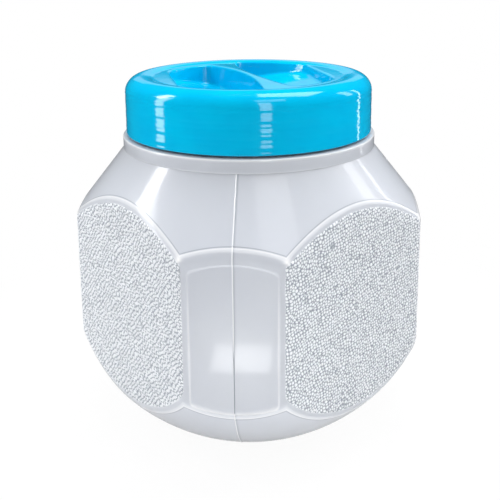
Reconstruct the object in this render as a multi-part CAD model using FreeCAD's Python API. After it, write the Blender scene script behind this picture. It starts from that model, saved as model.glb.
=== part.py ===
import FreeCAD, Part
import math
import os

# A wide-mouth storage jar with a screw lid, in millimetres. The origin is the centre of the base, on the
# surface the jar stands on, and +Z is up. The mould seam of the front corner panel lies on the -Y side.

# Jar body: a round bowl and a conical shoulder, with four wide sides and four corner panels cut flat
corner_r = 83.4              # radius of the upright edges before they are rounded
panel_half_angle = 15.05     # half of a corner panel's width, in degrees seen from the axis
shoulder_low_z = 102.2       # where the shoulder reaches the upright edges
shoulder_top_z = 132.5       # where the shoulder meets the collar
shoulder_step = 0.4          # the shoulder starts this far inside the collar
bowl_top_z = 41.9            # where the bowl reaches the upright edges
foot_r = 43.2                # where the bowl reaches the base
bowl_bulge_share = 0.08      # how far the bowl's outline bulges, as a share of its chord
body_wall = 1.5
edge_round = 6.0             # rounding of the edges of the flat sides and panels
foot_inner_r = 34.0          # inner edge of the ring that the jar stands on
foot_round = 6.0             # rounding of that ring's edges
base_rise = 5.0              # how far the middle of the base is pushed up

# Corner panel: a shallow field inside a narrow border
field_depth = 0.5
field_border = 3.4           # from the field to the panel's upright edges
field_top_z = 101.0          # at the panel's middle
field_low_z = 36.0           # at the panel's middle
field_arch = 3.2             # how far the field's top and bottom curve

# Collar and neck
collar_step = 1.6            # the collar stands this far out of the lid
collar_height = 6.0
collar_round = 0.8
lid_gap = 1.0                # between the collar and the closed lid
neck_wall = 2.4
neck_height = 21.1           # from the lid's lower edge to the lip
lip_round = 0.8

# Lid
lid_r = 58.0
lid_wall = 2.0
rim_round = 7.4              # rounding from the skirt to the crest
corner_chamfer = 2.3         # inside, between the skirt and the top
deck_drop = 0.9              # the grip bar's top lies this far below the crest
rim_slope = 5.3              # width of the rim's inner slope, from the crest to that level
skirt_round = 0.6            # rounding of the skirt's lower edge
bar_waist = 3.6              # width of the grip bar's narrow middle, between the finger pockets
bar_side_r = 150.0           # radius of its hollowed sides
bar_angle = 24.0             # its direction, in degrees from the front towards +X
pocket_wide_margin = 4.8     # from the crest to the pocket's wide end
pocket_narrow_margin = 9.9   # from the crest to its narrow end
pocket_side_inset = 7.35     # the pocket's straight outer wall lies this far inside its round ends
pocket_side_turn = 7.0       # how far that wall turns away from the bar, in degrees
pocket_depth = 12.0          # below the crest, beside the bar
pocket_lip_depth = 3.6       # below the crest, at the far side of the pocket
pocket_corner = 6.0          # rounding of the upright corners at the narrow end
pocket_wide_corner = 1.5     # rounding of the upright corners at the wide end
pocket_floor_round = 1.5

# Thread: right-handed, with ridges on the neck and in the lid
thread_starts = 2
thread_lead = 12.0           # rise in one turn
neck_ridge_low = 4.6         # where the neck's ridges begin, above the lid's lower edge
neck_ridge_drop = 4.2        # where they end, below the lip
thread_clearance = 0.8       # between the neck's ridges and the skirt
neck_ridge_height = 2.4
lid_ridge_height = 2.2
ridge_root_width = 2.6
ridge_crest_width = 1.2
ridge_sink = 0.5             # how far a ridge's root goes into its wall
ridge_fade = 40.0            # length of the sloping ends, in degrees
ridge_end_share = 0.12       # height left at the very end
ridge_sections = 36
thread_play = 0.42           # least play along the axis, between the closed ridges

# Sealing ring
seal_thickness = 2.3
seal_overhang = 1.8          # the ring reaches this far inside the neck
seal_play = 0.3              # between the ring and the lid's inner corner

overrun = 1.0                # how far cutters pass the faces that they cut
same_height = 0.001
full_turn = 360.0
side_count = 4

# Worked-out sizes
side_angle = full_turn / side_count
half_side = math.radians(side_angle / 2)
panel_half = math.radians(panel_half_angle)
skirt_r = lid_r - lid_wall
neck_r = skirt_r - thread_clearance - neck_ridge_height
bore_r = neck_r - neck_wall
collar_r = lid_r + collar_step
shoulder_top_r = collar_r - shoulder_step
panel_d = corner_r * math.cos(panel_half)
panel_half_width = corner_r * math.sin(panel_half)
side_d = corner_r * math.cos(half_side - panel_half)
shoulder_drop = shoulder_top_z - shoulder_low_z
shoulder_spread = corner_r - shoulder_top_r
shoulder_length = math.hypot(shoulder_drop, shoulder_spread)
bowl_chord = math.hypot(corner_r - foot_r, bowl_top_z)
bowl_bulge = bowl_chord * bowl_bulge_share
bowl_arc_r = bowl_chord ** 2 / (8 * bowl_bulge) + bowl_bulge / 2
bowl_reach = (bowl_arc_r - bowl_bulge) / bowl_chord
bowl_centre_r = (corner_r + foot_r) / 2 - bowl_top_z * bowl_reach
bowl_centre_z = bowl_top_z / 2 + (corner_r - foot_r) * bowl_reach
collar_top_z = shoulder_top_z + collar_height
lid_edge_z = collar_top_z + lid_gap
lip_z = lid_edge_z + neck_height
plate_z = lip_z + seal_thickness
deck_z = plate_z + lid_wall
crest_z = deck_z + deck_drop
crest_r = lid_r - rim_round
deck_r = crest_r - rim_slope
pocket_r = crest_r - (pocket_wide_margin + pocket_narrow_margin) / 2
pocket_shift = (pocket_narrow_margin - pocket_wide_margin) / 2
pocket_side_d = pocket_r - pocket_side_inset
seal_r = skirt_r - corner_chamfer - seal_play
seal_inner_r = bore_r - seal_overhang
ridge_offset = (ridge_root_width + ridge_crest_width) / 2 + thread_play
ridge_climb = neck_height - neck_ridge_drop - neck_ridge_low
thread_turn = full_turn * ridge_climb / thread_lead
origin = FreeCAD.Vector(0, 0, 0)
z_axis = FreeCAD.Vector(0, 0, 1)


def at(r, z):
    """A point of an outline that is turned about the jar's axis."""
    return FreeCAD.Vector(r, 0, z)


def path(points):
    """Straight edges through points."""
    return [Part.LineSegment(a, b).toShape() for a, b in zip(points, points[1:])]


def arc(start, middle, end):
    return Part.Arc(start, middle, end).toShape()


def face_of(edges):
    return Part.Face(Part.Wire(Part.__sortEdges__(edges)))


def turned(edges):
    """The solid that a closed outline makes when it is turned about the jar's axis."""
    return face_of(edges).revolve(origin, z_axis, full_turn)


def disc(radius, low_z, high_z):
    return Part.makeCylinder(radius, high_z - low_z, at(0, low_z), z_axis)


def spun(shape, degrees):
    """A copy of a shape, turned about the jar's axis."""
    copy = shape.copy()
    copy.rotate(origin, z_axis, degrees)
    return copy


def round_level(solid, z, radius):
    """Rounds the circles that lie at one height."""
    level = []
    for edge in solid.Edges:
        box = edge.BoundBox
        if abs(box.ZMin - z) < same_height and abs(box.ZMax - z) < same_height:
            level.append(edge)
    return solid.makeFillet(radius, level)


def body_prism(inset):
    """The upright sides: four wide flats, and four corner panels that face the X and Y axes."""
    points = []
    for number in range(2 * side_count):
        near, far = panel_d - inset, side_d - inset
        if number % 2:
            near, far = far, near
        angle = number * half_side
        along = (far - near * math.cos(half_side)) / math.sin(half_side)
        x = near * math.cos(angle) - along * math.sin(angle)
        y = near * math.sin(angle) + along * math.cos(angle)
        points.append(FreeCAD.Vector(x, y, -overrun))
    prism = face_of(path(points + points[:1]))
    return prism.extrude(FreeCAD.Vector(0, 0, lip_z + 3 * overrun))


def blown_shape(inset, neck_points):
    """The jar's form with its walls moved in by inset, and the given outline above the shoulder."""
    arc_r = bowl_arc_r - inset
    foot = bowl_centre_r + math.sqrt(arc_r ** 2 - (bowl_centre_z - inset) ** 2)
    end_r = bowl_centre_r + (corner_r - bowl_centre_r) * arc_r / bowl_arc_r
    end_z = bowl_centre_z + (bowl_top_z - bowl_centre_z) * arc_r / bowl_arc_r
    girdle_r = end_r + overrun
    girdle_low = end_z + overrun * (corner_r - bowl_centre_r) / (bowl_centre_z - bowl_top_z)
    shoulder_in = inset * shoulder_length / shoulder_drop
    girdle_top = shoulder_low_z - (girdle_r + shoulder_in - corner_r) * shoulder_drop / shoulder_spread
    middle = (math.atan2(bowl_centre_z - inset, foot - bowl_centre_r)
              + math.atan2(bowl_centre_z - end_z, end_r - bowl_centre_r)) / 2
    bowl_middle = at(bowl_centre_r + arc_r * math.cos(middle), bowl_centre_z - arc_r * math.sin(middle))
    dome_r = (foot_inner_r ** 2 + base_rise ** 2) / (2 * base_rise)
    dome_middle_z = base_rise - dome_r + math.sqrt(dome_r ** 2 - (foot_inner_r / 2) ** 2)
    dome_middle = at(foot_inner_r / 2, dome_middle_z + inset)
    edges = [arc(at(0, base_rise + inset), dome_middle, at(foot_inner_r, inset))]
    edges += path([at(foot_inner_r, inset), at(foot, inset)])
    edges += [arc(at(foot, inset), bowl_middle, at(end_r, end_z))]
    edges += path([at(end_r, end_z), at(girdle_r, girdle_low), at(girdle_r, girdle_top),
                   at(shoulder_top_r - shoulder_in, shoulder_top_z)] + neck_points
                  + [at(0, neck_points[-1].z), at(0, base_rise + inset)])
    return turned(edges).common(body_prism(inset))


def hollow_neck(inset):
    """The outline of the space inside the collar and the neck."""
    hollow_r = shoulder_top_r - inset * shoulder_length / shoulder_drop
    shelf_z = collar_top_z - inset
    return [at(hollow_r, shelf_z), at(bore_r, shelf_z), at(bore_r, lip_z + overrun)]


def flat_edges(solid):
    """The edges round the body's upright flat faces, each once."""
    found = {}
    for face in solid.Faces:
        if isinstance(face.Surface, Part.Plane) and abs(face.normalAt(0, 0).z) < same_height:
            for edge in face.Edges:
                found[edge.hashCode()] = edge
    return list(found.values())


def panel_fields():
    """Cutters for the shallow fields in the corner panels. Their floors follow the body's form."""
    half = panel_half_width - field_border
    depth = -panel_d + body_wall + edge_round
    left_low = FreeCAD.Vector(-half, depth, field_low_z + field_arch)
    right_low = FreeCAD.Vector(half, depth, field_low_z + field_arch)
    left_top = FreeCAD.Vector(-half, depth, field_top_z - field_arch)
    right_top = FreeCAD.Vector(half, depth, field_top_z - field_arch)
    edges = path([right_low, right_top]) + path([left_top, left_low])
    edges += [arc(left_low, FreeCAD.Vector(0, depth, field_low_z), right_low)]
    edges += [arc(left_top, FreeCAD.Vector(0, depth, field_top_z), right_top)]
    block = face_of(edges).extrude(FreeCAD.Vector(0, -edge_round - body_wall - overrun, 0))
    cutter = block.cut(blown_shape(field_depth, hollow_neck(field_depth)))
    return [spun(cutter, number * side_angle) for number in range(side_count)]


def ridge(root_r, height, outward, low_z):
    """One thread ridge: sections along a helix, lower towards both ends."""
    sections = []
    half_root = ridge_root_width / 2
    half_crest = ridge_crest_width / 2
    for number in range(ridge_sections + 1):
        turn = thread_turn * number / ridge_sections
        fade = min(1, turn / ridge_fade, (thread_turn - turn) / ridge_fade)
        rise = height * (ridge_end_share + (1 - ridge_end_share) * math.sin(fade * math.pi / 2))
        z = low_z + thread_lead * turn / full_turn
        root, crest = root_r - outward * ridge_sink, root_r + outward * rise
        corners = [at(root, z - half_root), at(crest, z - half_crest),
                   at(crest, z + half_crest), at(root, z + half_root)]
        wire = Part.makePolygon(corners + corners[:1])
        sections.append(spun(wire, turn))
    return Part.makeLoft(sections, True, False)


def thread(root_r, height, outward, low_z):
    one = ridge(root_r, height, outward, low_z)
    return [spun(one, full_turn * number / thread_starts) for number in range(thread_starts)]


def make_jar_body():
    outer_neck = [at(collar_r, shoulder_top_z), at(collar_r, collar_top_z), at(neck_r, collar_top_z),
                  at(neck_r, lip_z)]
    body = blown_shape(0, outer_neck)
    body = body.makeFillet(edge_round, flat_edges(body))
    body = round_level(body, 0, foot_round)
    body = round_level(body, collar_top_z, collar_round)
    body = body.cut(panel_fields())
    body = body.cut(blown_shape(body_wall, hollow_neck(body_wall)))
    body = round_level(body, lip_z, lip_round)
    return body.fuse(thread(neck_r, neck_ridge_height, 1, lid_edge_z + neck_ridge_low))


def uprights(solid, end):
    """The upright edges at one end of a pocket: -1 is the narrow end and 1 the wide end."""
    steep = [e for e in solid.Edges if abs(e.tangentAt(e.FirstParameter).z) > 1 - same_height]
    return [e for e in steep if end * e.CenterOfMass.y > 0]


def pocket(grow, top_z):
    """A finger pocket beside the grip bar, with a sloping floor. Its walls are moved out by grow."""
    inner, outer = bar_waist / 2 - grow, pocket_r + pocket_shift + grow
    deep_z = crest_z - pocket_depth - grow
    far_z = crest_z - pocket_lip_depth - grow
    start = inner - overrun
    start_z = deep_z - overrun * (far_z - deep_z) / (outer - inner)
    corners = [FreeCAD.Vector(start, -outer, start_z), FreeCAD.Vector(outer, -outer, far_z),
               FreeCAD.Vector(outer, -outer, top_z), FreeCAD.Vector(start, -outer, top_z)]
    wedge = face_of(path(corners + corners[:1])).extrude(FreeCAD.Vector(0, 2 * outer, 0))
    side = Part.makeBox(2 * outer, 2 * outer, top_z - deep_z + 2 * overrun,
                        FreeCAD.Vector(pocket_side_d + grow - 2 * outer, -outer, deep_z - overrun))
    bar_side = disc(bar_side_r + grow, deep_z - overrun, top_z + overrun)
    bar_side.translate(FreeCAD.Vector(bar_waist / 2 + bar_side_r, 0, 0))
    ends = disc(pocket_r + grow, deep_z - overrun, top_z + overrun)
    ends.translate(FreeCAD.Vector(0, pocket_shift, 0))
    shape = wedge.common(bar_side).common(ends).common(spun(side, -pocket_side_turn))
    shape = shape.makeFillet(pocket_corner + grow, uprights(shape, -1))
    shape = shape.makeFillet(pocket_wide_corner + grow, uprights(shape, 1))
    lower = [e for e in shape.Edges if e.BoundBox.ZMax < top_z - same_height]
    shape = shape.makeFillet(pocket_floor_round + grow, lower)
    return spun(shape, bar_angle)


def pockets(grow, top_z):
    one = pocket(grow, top_z)
    return [one, spun(one, full_turn / 2)]


def make_screw_lid():
    rim_low_z = crest_z - rim_round
    slope_r = ((crest_r - deck_r) ** 2 + deck_drop ** 2) / (2 * deck_drop)
    slope_middle_z = crest_z - slope_r + math.sqrt(slope_r ** 2 - ((crest_r - deck_r) / 2) ** 2)
    bend = rim_round * math.sin(math.pi / 4)
    edges = path([at(0, deck_z), at(0, lid_edge_z), at(lid_r, lid_edge_z), at(lid_r, rim_low_z)])
    edges += [arc(at(lid_r, rim_low_z), at(crest_r + bend, rim_low_z + bend), at(crest_r, crest_z))]
    edges += [arc(at(crest_r, crest_z), at((crest_r + deck_r) / 2, slope_middle_z), at(deck_r, deck_z))]
    edges += path([at(deck_r, deck_z), at(0, deck_z)])
    lid = turned(edges)
    inside = path([at(0, lid_edge_z - overrun), at(skirt_r, lid_edge_z - overrun),
                   at(skirt_r, plate_z - corner_chamfer), at(skirt_r - corner_chamfer, plate_z),
                   at(0, plate_z), at(0, lid_edge_z - overrun)])
    lid = lid.cut(turned(inside))
    lid = round_level(lid, lid_edge_z, skirt_round)
    lid = lid.fuse(pockets(lid_wall, (deck_z + plate_z) / 2))
    lid = lid.cut(pockets(0, deck_z + overrun))
    return lid.fuse(thread(skirt_r, lid_ridge_height, -1, lid_edge_z + neck_ridge_low - ridge_offset))


def make_sealing_ring():
    return disc(seal_r, lip_z, plate_z).cut(disc(seal_inner_r, lip_z - overrun, plate_z + overrun))


os.makedirs("parts", exist_ok=True)
make_jar_body().exportStep("parts/jar_body.step")
make_screw_lid().exportStep("parts/screw_lid.step")
make_sealing_ring().exportStep("parts/sealing_ring.step")
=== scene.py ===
import math

import bmesh
import bpy
import numpy as np
from mathutils import Matrix, Vector
from mathutils.geometry import delaunay_2d_cdt


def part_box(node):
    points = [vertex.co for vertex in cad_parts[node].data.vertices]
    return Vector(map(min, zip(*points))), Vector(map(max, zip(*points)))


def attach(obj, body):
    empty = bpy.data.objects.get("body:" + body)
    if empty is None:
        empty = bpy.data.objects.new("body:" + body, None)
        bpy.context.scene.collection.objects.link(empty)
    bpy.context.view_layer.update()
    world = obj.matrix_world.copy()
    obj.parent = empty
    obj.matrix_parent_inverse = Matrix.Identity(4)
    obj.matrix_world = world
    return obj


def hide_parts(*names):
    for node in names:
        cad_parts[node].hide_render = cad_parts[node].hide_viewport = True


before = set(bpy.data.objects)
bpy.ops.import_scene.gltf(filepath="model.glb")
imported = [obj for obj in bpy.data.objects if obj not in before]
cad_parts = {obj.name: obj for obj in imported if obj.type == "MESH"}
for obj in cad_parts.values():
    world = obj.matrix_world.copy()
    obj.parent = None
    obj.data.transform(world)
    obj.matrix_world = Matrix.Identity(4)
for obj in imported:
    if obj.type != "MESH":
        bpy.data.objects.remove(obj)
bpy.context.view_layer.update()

bl_info = {
    "name": "Screw-top jar",
    "version": (1, 0, 0),
    "blender": (4, 5, 0),
    "location": "3D View > Sidebar > Jar",
    "description": "Builds a milky storage jar with grained sides and a blue screw lid",
    "category": "Object",
}

MM = 0.001
JAR_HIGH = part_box("jar_body")[1]
LID_LOW, LID_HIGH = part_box("screw_lid")
SEAL_LOW, SEAL_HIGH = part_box("sealing_ring")
QUARTER = math.pi / 2

# The body that carries a piece, the node that the piece stands for, and the material slot
JAR = ("jar", "jar_body", "jar_plastic")
LID = ("lid", "screw_lid", "lid_plastic")
SEAL = ("seal", "sealing_ring", "seal_foam")

# Fine sizes of the blown jar, in metres
UPRIGHT_BLEND = 1.5 * MM      # softening of the upright edges
ARCH_BLEND = 1.8 * MM         # softening where the shoulder cuts the flats
BOWL_BLEND = 1.6 * MM         # softening where the bowl cuts the flats
FIELD_BEVEL = 0.9 * MM
FIELD_CORNER = 2.0 * MM
SEAM_WIDTH = 0.22 * MM
SEAM_RISE = 0.28 * MM
SEAM_BEAD = 0.5 * MM          # the small knob where the seam enters the front field
PINCH_RISE = 0.3 * MM         # the welded line across the underside
PINCH_WIDTH = 0.5 * MM
COLLAR_ROUND = 0.8 * MM
LIP_ROUND = 0.8 * MM

# Painted light and shade of the corner panels, the seam and the collar, as tones from -1, painted grey shade,
# to 1, painted white highlight
# The pale line round a field is a painted highlight
FIELD_HIGHLIGHT = 0.45             # the pale line round a field
FIELD_LINE = 0.3 * MM         # half of that line
# Painted shade: each panel is darkened towards its upper end
PANEL_SHADE = 0.32            # a panel is this much greyer at its upper end
PANEL_SHADE_LOW = 75 * MM     # height where the grey begins
PANEL_SHADE_REACH = 25 * MM   # it grows over this height
# A painted highlight: a white glint at each panel's upper corners
GLINT_TONE = 0.8              # the white glint at a panel's upper corners
GLINT_REACH = 1.6 * MM
# Painted highlight on the seam and painted shade on its right flank; in a field's lower half, painted shade
# on the seam and a painted highlight on its left flank
SEAM_HIGHLIGHT, SEAM_FLANK_SHADE = 0.8, -0.5             # the seam, and its right flank
SEAM_LOW_SHADE, SEAM_LOW_FLANK_HIGHLIGHT = -1.2, 0.7     # in a field's lower half, where its left flank shows
SEAM_LOW_FADE, SEAM_HIGH_FADE = 1 * MM, 8 * MM
# Painted highlight lines at the collar's foot and top, and painted grey shade over the rest of the neck
COLLAR_HIGHLIGHT, COLLAR_SHADE = 0.7, 0.08         # the collar's lines, and its grey between them
COLLAR_FOOT_LINE, COLLAR_TOP_LINE = 0.3 * MM, 0.4 * MM

# Tones across a fold: a pale band, partly the whiter, thicker plastic, a painted white highlight line and a
# painted grey shade line, as places out from its sharp edge and their tones
FOLD_REACH = 5.0 * MM
FOLD_HIGHLIGHT_AND_SHADE = ((1.0 * MM, 0), (1.2 * MM, 0.25), (1.9 * MM, 0.3), (2.2 * MM, 0.8), (2.45 * MM, 0.1),
              (2.8 * MM, -0.6), (3.1 * MM, 0))

# Fine sizes of the grain
GRAIN_STEP = 0.27 * MM        # mesh spacing
GRAIN_FADE = 0.7 * MM         # the pebbles flatten over this width at the edge
GRAIN_SINK = 0.15 * MM        # the sheet's edge dips this far under the smooth wall
GRAIN_LAP = 1.6 * MM          # the smooth wall reaches this far under the grain
GRAIN_SLANT = 0.8             # distance from a slanting edge as a share of the height to it
GRAIN_TOP_GAP = 0.8 * MM      # from the shoulder's fold down to the grain
GRAIN_LOW_GAP = 1.3 * MM      # from the bowl's fold up to the grain
GRAIN_SIDE_LAP = 0.8 * MM     # the grain reaches this far past the upright edges
GRAIN_TOP_CORNER = 1.5 * MM
GRAIN_LOW_CORNER = 2.0 * MM
# The pebbles' lean in radians, and their length and width in spacings, on the front's left side and its right
GRAIN_CELLS = ((-0.7, 1.75, 0.95), (0.2, 1.4, 1.35))
ROW_SWAY = 0.2                # how far the pebbles' rows sway, in pebbles
SWAY_U, SWAY_Z, SWAY_TWIST = 2.3, 3.1, 1.7    # the sway's reach in spacings, and how much it varies
PEBBLE_PLACES = (0.1, 0.9)    # where along a row's cell a pebble's middle may lie
ROW_STRAY = 0.38              # how far round pebbles stray from the middle of their row
PEBBLE_TOPS = (0.5, 1.0)      # heights of the pebbles
PEBBLE_ROUND = 0.8            # a pebble's dome falls off over this share of a cell
PEBBLE_FLAT = 0.25            # share of the height that isn't domed
PEBBLE_GAP = 0.5              # reach of the slope beside a gap
# The mesh attribute that the plastic reads: the grain's height from 0 to 1, which also sets the grain's
# painted light and shade, or a painted tone from -1, painted shade, to 1, painted highlight
MARK = "mark"

# Fine sizes of the lid
POCKET_EDGE = 0.9 * MM        # rounding of the pockets' upper edges
POCKET_DRAFT = 0.6 * MM       # the walls lean in by this much
POCKET_FLOOR = 1.8 * MM       # rounding of the pockets' floors
BAR_CORE = 0.25 * MM          # half of the grip bar's core, seen from below
SINK_BAND = 0.035 * MM        # depth of the shallow bands round the skirt
SINK_PITCH = 6.0 * MM
SINK_FINE = 0.37              # pitch of the finer bands between them, as a share
PARTING_DEPTH = 0.12 * MM     # the fine line round the rim
PARTING_WIDTH = 0.25 * MM
PARTING_HEIGHT = 19.7 * MM    # above the lid's lower edge
CROWN_WIDTH = 6 * MM          # the grip bar's crown fades over this width
EDGE_ROUND = 0.6 * MM         # rounding of the skirt's lower edge
DECK_SPACING, UNDERSIDE_SPACING = 1.2 * MM, 4 * MM    # of the meshes' points

# Fine sizes of the thread
RIDGE_SINK = 0.3 * MM         # the ridges are rooted this far in their wall
RIDGE_ROUND = 0.3 * MM
RIDGE_SHOULDER = 0.85         # height of a ridge beside its crest, as a share
RIDGE_END = 0.12              # height of a ridge's ends, as a share

# Fine sizes of the sealing ring
SEAL_LAP = 1.8 * MM           # the ring reaches this far inside the neck's bore
SEAL_ROUND = 0.5 * MM
SEAL_GROOVE = 0.12 * MM       # the lip presses this far into the foam
SEAL_GROOVE_WIDTH = 1.2 * MM

MIX_SHARE, MIX_FROM, MIX_TO, MIX_RESULT = 0, 6, 7, 2    # sockets of a colour mix

# Lamps: degrees round from the camera, distance and height in metres, size in metres, brightness against the
# white of the paper, and whether the gloss shows the lamp
LAMPS = {
    "left_box": (-82.5, 0.52, 0.24, (0.095, 0.46), 6.5, True),
    "left_window": (-91, 0.52, 0.5, (0.1, 0.24), 13, True),
    "front_box": (14.7, 0.54, 0.26, (0.095, 0.5), 4.2, True),
    "high_box": (24, 0.42, 0.64, (0.24, 0.16), 2.2, True),
    "right_box": (103, 0.6, 0.42, (0.1, 0.26), 3.5, True),
    "back_box": (114.5, 0.52, 0.2, (0.022, 0.4), 6, True),
    "back_card": (180, 0.57, 0.33, (0.5, 0.16), 0.4, True),
    "rim_box": (95, 0.22, 0.72, (0.3, 0.36), 5.5, True),
    "top_box": (190, 0.12, 0.95, (0.5, 0.4), 8, False),
    "lid_box": (180, 0.02, 0.42, (0.1, 0.1), 3, False),
    "right_fill": (95, 0.5, 0.4, (0.2, 0.2), 6.5, False),
}
# Low cards that face up, one inside the other, so that the glow on the front panel has soft edges
CARD_PLACE = (-7.3, 0.190, 0.002)
CARD_WIDTH, CARD_DEPTH = 0.026, 0.024
CARD_SHARES = (0.25, 0.45, 0.65, 0.85, 1.05, 1.25)
CARD_BRIGHTNESS = 6.0
LAMP_AIM = 0.1                # height of the jar's middle, which the lamps face
# The paper close to the jar and far from it, in metres: how much of it is plain white to the camera, so that
# the rest keeps the shadow, and how bright the gloss shows it
PAPER_NEAR, PAPER_FAR, PAPER_WHITE = 0.06, 0.22, 0.95
GLOSS_NEAR, GLOSS_FAR, GLOSS_BRIGHT = 0.16, 0.35, 0.6
PAPER_REACH, PAPER_DROP = 12.0, 0.1 * MM


def linear(hex_colour):
    """Linear RGBA of an sRGB hex colour."""
    channels = [int(hex_colour[i:i + 2], 16) / 255 for i in (1, 3, 5)]
    return [c / 12.92 if c <= 0.04045 else ((c + 0.055) / 1.055) ** 2.4 for c in channels] + [1.0]


def length(name, description, millimetres):
    """A length that a user may change."""
    return bpy.props.FloatProperty(name=name, description=description, default=millimetres * MM,
                                   min=0, precision=5, unit="LENGTH")


def turn(name, description, degrees):
    """An angle that a user may change."""
    return bpy.props.FloatProperty(name=name, description=description,
                                   default=math.radians(degrees), unit="ROTATION")


def colour(name, description, hex_colour):
    """A colour that a user may change."""
    return bpy.props.FloatVectorProperty(name=name, description=description, size=4, min=0, max=1,
                                         default=linear(hex_colour), subtype="COLOR")


class JarBodySettings(bpy.types.PropertyGroup):
    """Sizes and colours of the blown jar"""

    panel_distance: length("Panel distance", "From the axis to a corner panel",
                           (JAR_HIGH.x - SEAM_RISE) / MM)
    panel_half_angle: turn("Panel half angle", "Half of a corner panel, seen from the axis", 15.05)
    shoulder_low: length("Shoulder foot", "Height where the shoulder reaches the upright edges", 102.2)
    shoulder_top: length("Shoulder top", "Height where the shoulder meets the collar", 132.5)
    shoulder_radius: length("Shoulder radius", "Radius of the shoulder at the collar", 59.2)
    bowl_top: length("Bowl top", "Height where the bowl reaches the upright edges", 41.9)
    foot_radius: length("Foot radius", "Radius where the bowl reaches the base", 43.2)
    bowl_bulge: bpy.props.FloatProperty(name="Bowl bulge", default=0.08, subtype="FACTOR",
                                        description="Bulge of the bowl as a share of its chord")
    foot_inner_radius: length("Foot inner radius", "Inner edge of the standing ring", 34)
    base_rise: length("Base rise", "How far the middle of the base is pushed up", 5)
    wall: length("Wall", "Thickness of the wall", 1.5)
    field_depth: length("Field depth", "Depth of the corner panels' fields", 0.5)
    field_border: length("Field border", "From the field to the panel's upright edges", 3.4)
    field_top: length("Field top", "Top of the field at its middle", 101)
    field_low: length("Field foot", "Foot of the field at its middle", 36)
    field_arch: length("Field arch", "How far the field's ends curve", 3.2)
    collar_radius: length("Collar radius", "Radius of the ring below the lid", 59.6)
    collar_height: length("Collar height", "Height of the ring below the lid", 6)
    neck_radius: length("Neck radius", "Outer radius of the neck", 52.8)
    neck_wall: length("Neck wall", "Thickness of the neck", 2.4)
    lip_height: length("Lip height", "Height of the lip above the base", JAR_HIGH.z / MM)
    pebble: length("Pebble", "Spacing of the grain's pebbles", 1.02)
    pebble_height: length("Pebble height", "Height of the grain's pebbles", 0.55)
    plastic: colour("Plastic", "Milky plastic of the smooth wall", "#E4E8EF")
    plastic_thick: colour("Thick plastic", "Where the wall is a little thicker", "#E0E4EC")
    # The next colour is partly the whiter, thicker plastic at a fold and partly a painted highlight along the
    # folds, the fields' edges, the seam, the collar and the panels' glints
    thick_white_and_highlight: colour("Fold white", "Where the wall folds and scatters more light", "#FFFFFF")
    # The next colour is painted shade: beside a fold, at the panels' upper ends, in the seam and on the
    # collar
    painted_shade_grey: colour("Fold grey", "The thin line beside a fold, and in the seam", "#7F8794")
    # The pebbles' tops: partly the milky plastic's own white, partly painted light; the gap colour after it
    # is painted shade between the pebbles
    grain_top: colour("Grain top", "Milky plastic of the pebbles", "#F8FBFF")
    grain_gap_shade: colour("Grain gap", "Thinner plastic between the pebbles", "#99A0AB")


class JarLidSettings(bpy.types.PropertyGroup):
    """Sizes and colours of the lid and its sealing ring"""

    radius: length("Radius", "Outer radius of the lid", LID_HIGH.x / MM)
    edge: length("Edge height", "Height of the closed lid's lower edge", LID_LOW.z / MM)
    crest: length("Crest height", "Height of the rim's crest", LID_HIGH.z / MM)
    wall: length("Wall", "Thickness of the lid", 2)
    rim_round: length("Rim rounding", "Rounding from the skirt to the crest", 7.4)
    rim_slope: length("Rim slope", "Width of the rim's inner slope", 5.3)
    deck_drop: length("Deck drop", "From the crest down to the deck", 0.9)
    corner_chamfer: length("Inner chamfer", "Inside, between the skirt and the top", 2.3)
    bar_waist: length("Bar waist", "Width of the grip bar's middle", 3.6)
    bar_side: length("Bar side", "Radius of the grip bar's hollowed sides", 150)
    bar_angle: turn("Bar angle", "Direction of the grip bar from the front", 24)
    bar_crown: length("Bar crown", "How far the grip bar's top bulges", 0.85)
    wide_margin: length("Wide end margin", "From the crest to a pocket's wide end", 4.8)
    narrow_margin: length("Narrow end margin", "From the crest to a pocket's narrow end", 9.9)
    pocket_side_inset: length("Pocket side inset", "The outer wall lies this far in", 7.35)
    pocket_side_turn: turn("Pocket side turn", "How far the outer wall turns from the bar", 7)
    pocket_depth: length("Pocket depth", "Below the crest, beside the bar", 12)
    pocket_lip_depth: length("Pocket lip depth", "Below the crest, at the far side", 3.6)
    wide_corner: length("Wide end corner", "Softness of the corners at the wide end", 1.2)
    narrow_corner: length("Narrow end corner", "Softness of the corners at the narrow end", 5)
    plastic: colour("Plastic", "Blue of the lid", "#00ADDB")
    plastic_pale: colour("Pale plastic", "Blue where the flow of the moulding shows", "#00B3DE")
    foam: colour("Foam", "The sealing ring's foam", "#EDEBE4")
    foam_shade: colour("Foam shade", "Between the foam's cells", "#D6D3CA")


class JarThreadSettings(bpy.types.PropertyGroup):
    """Sizes of the screw thread"""

    starts: bpy.props.IntProperty(name="Starts", description="Number of ridges on each part",
                                  default=2, min=1)
    lead: length("Lead", "Rise in one turn", 12)
    neck_low: length("Neck ridge foot", "Foot of the neck's ridges above the lid's edge", 4.6)
    neck_drop: length("Neck ridge drop", "End of the neck's ridges below the lip", 4.2)
    neck_height: length("Neck ridge height", "How far the neck's ridges stand out", 2.4)
    lid_height: length("Lid ridge height", "How far the lid's ridges stand in", 2.2)
    root_width: length("Root width", "Width of a ridge at its wall", 2.6)
    crest_width: length("Crest width", "Width of a ridge at its crest", 1.2)
    offset: length("Offset", "The lid's ridges lie this far below the neck's", 2.32)
    fade: turn("Fade", "Length of a ridge's sloping ends", 40)


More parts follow.
